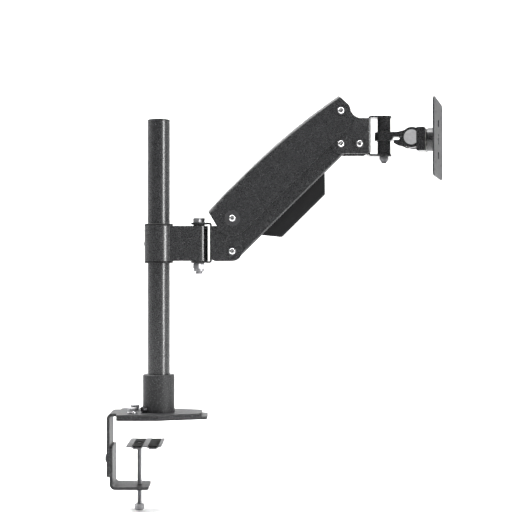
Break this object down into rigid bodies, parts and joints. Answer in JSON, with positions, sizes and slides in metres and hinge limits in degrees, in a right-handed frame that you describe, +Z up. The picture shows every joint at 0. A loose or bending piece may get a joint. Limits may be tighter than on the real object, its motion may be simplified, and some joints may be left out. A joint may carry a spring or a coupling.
{
  "type": "monitor arm",
  "caption": "Desk-clamp monitor arm: a pole with a height collar, a swivelling gas-spring parallel arm and a swivelling, tilting, turning VESA head.",
  "frame": {"origin": "on the pole's axis at the underside of the desk pad, which rests on the desk top", "axes": "+Z is up along the pole, +X points from the pole along the arm at rest, +Y is the far side of the arm from the pivot bolts' heads"},
  "size_m": [0.5288, 0.1259, 0.6408],
  "materials": {
    "powder_coat": "fine-textured powder coat",
    "pad_foam": "matt closed-cell foam",
    "bright_zinc": "bright zinc plate",
    "dark_zinc": "dark zinc plate",
    "black_oxide": "black oxide",
    "black_plastic": "fine-grained moulding",
    "white_nylon": "natural nylon",
    "gloss_black": "gloss black lacquer",
    "polished_rod": "ground and hard chromed",
    "grey_disc": "sand-textured light grey"
  },
  "bodies": {
    "base": {"base_bracket": "powder_coat", "base_under_plate": "powder_coat", "desk_pad": "pad_foam", "base_bolts": "bright_zinc", "base_bolt_washers": "bright_zinc", "pole": "powder_coat", "pole_socket": "powder_coat", "pole_cap": "black_plastic", "pole_lock_screw": "black_oxide", "clamp_jaw": "powder_coat", "clamp_jaw_bolts": "black_oxide"},
    "clamp_foot": {"clamp_foot_plate": "powder_coat", "clamp_foot_pads": "pad_foam", "clamp_screw": "bright_zinc"},
    "collar_sleeve": {"collar_bush_upper": "black_plastic", "collar_bush_lower": "black_plastic"},
    "collar": {"collar_strap": "powder_coat", "collar_lock_screw": "black_oxide", "elbow_barrel": "powder_coat"},
    "yoke": {"elbow_washer": "black_plastic", "elbow_bolt": "bright_zinc", "elbow_nut": "bright_zinc", "yoke": "powder_coat", "spring_yoke_pin": "bright_zinc", "yoke_pivot_bolts": "bright_zinc", "yoke_pivot_washers": "dark_zinc", "yoke_pivot_nuts": "bright_zinc"},
    "upper_arm": {"upper_arm_shell": "powder_coat", "upper_arm_bushes": "white_nylon", "spring_anchor": "powder_coat", "spring_anchor_pin": "bright_zinc"},
    "lower_arm": {"lower_link": "powder_coat", "lower_link_bushes": "white_nylon", "cable_cover": "black_plastic", "cable_cover_screws": "black_oxide"},
    "spring_cylinder": {"gas_cylinder": "gloss_black"},
    "spring_rod": {"gas_piston_rod": "polished_rod", "gas_rod_eye": "dark_zinc"},
    "head": {"head_bracket": "powder_coat", "swivel_spacer_upper": "powder_coat", "swivel_spacer_lower": "powder_coat", "swivel_bolt": "black_oxide", "swivel_nut": "dark_zinc", "head_pivot_bolts": "bright_zinc", "head_pivot_washers": "dark_zinc", "head_pivot_nuts": "bright_zinc", "head_brace_spacer": "dark_zinc"},
    "tilt_arm": {"tilt_arm": "powder_coat", "swivel_washers": "black_plastic"},
    "tilt_head": {"tilt_bracket": "powder_coat", "tilt_disc_bolt": "grey_disc", "tilt_washers": "dark_zinc", "tilt_nut": "bright_zinc", "roll_bolt": "black_oxide"},
    "vesa": {"vesa_plate": "powder_coat", "roll_hub": "powder_coat", "roll_washer": "white_nylon"}
  },
  "joints": [
    {"name": "clamp_travel", "type": "slide", "parent": "base", "child": "clamp_foot", "axis": [0, 0, 1], "range_m": [-0.044, 0.0255]},
    {"name": "collar_height", "type": "slide", "parent": "base", "child": "collar_sleeve", "axis": [0, 0, 1], "range_m": [-0.165, 0.155]},
    {"name": "collar_turn", "type": "hinge", "parent": "collar_sleeve", "child": "collar", "pos_m": [0, 0, 0.27], "axis": [0, 0, 1], "continuous": true},
    {"name": "elbow_swivel", "type": "hinge", "parent": "collar", "child": "yoke", "pos_m": [0.0626, 0, 0.27], "axis": [0, 0, 1], "range_deg": [-80, 80]},
    {"name": "arm_lift", "type": "hinge", "parent": "yoke", "child": "upper_arm", "pos_m": [0.1144, 0, 0.3083], "axis": [0, -1, 0], "range_deg": [-87, 3]},
    {"name": "lower_link_pivot", "type": "hinge", "parent": "yoke", "child": "lower_arm", "pos_m": [0.1144, 0, 0.2578], "axis": [0, -1, 0], "range_deg": [-87.5, 3.5]},
    {"name": "head_pivot", "type": "hinge", "parent": "upper_arm", "child": "head", "pos_m": [0.28144, 0, 0.4736], "axis": [0, -1, 0], "range_deg": [-3.5, 87.5]},
    {"name": "spring_pivot", "type": "hinge", "parent": "yoke", "child": "spring_rod", "pos_m": [0.1144, 0, 0.2903], "axis": [0, -1, 0], "range_deg": [-86, 3.5]},
    {"name": "spring_stroke", "type": "slide", "parent": "spring_rod", "child": "spring_cylinder", "axis": [0.6673, 0, 0.7448], "range_m": [-0.0256, 0.0015]},
    {"name": "head_swivel", "type": "hinge", "parent": "head", "child": "tilt_arm", "pos_m": [0.3503, 0, 0.436], "axis": [0, 0, 1], "range_deg": [-74, 106]},
    {"name": "head_tilt", "type": "hinge", "parent": "tilt_arm", "child": "tilt_head", "pos_m": [0.39356, -0.0124, 0.4325], "axis": [0.2756, 0.9613, 0], "range_deg": [-35, 35]},
    {"name": "head_roll", "type": "hinge", "parent": "tilt_head", "child": "vesa", "pos_m": [0.41759, -0.01929, 0.4295], "axis": [0.9613, -0.2756, 0], "continuous": true}
  ],
  "couplings": [
    {"joint": "lower_link_pivot", "follows": "arm_lift", "ratio": 1},
    {"joint": "head_pivot", "follows": "arm_lift", "ratio": -1},
    {"joint": "spring_pivot", "follows": "arm_lift", "ratio": 0.982},
    {"joint": "spring_stroke", "follows": "arm_lift", "m_per_rad": 0.01627}
  ]
}
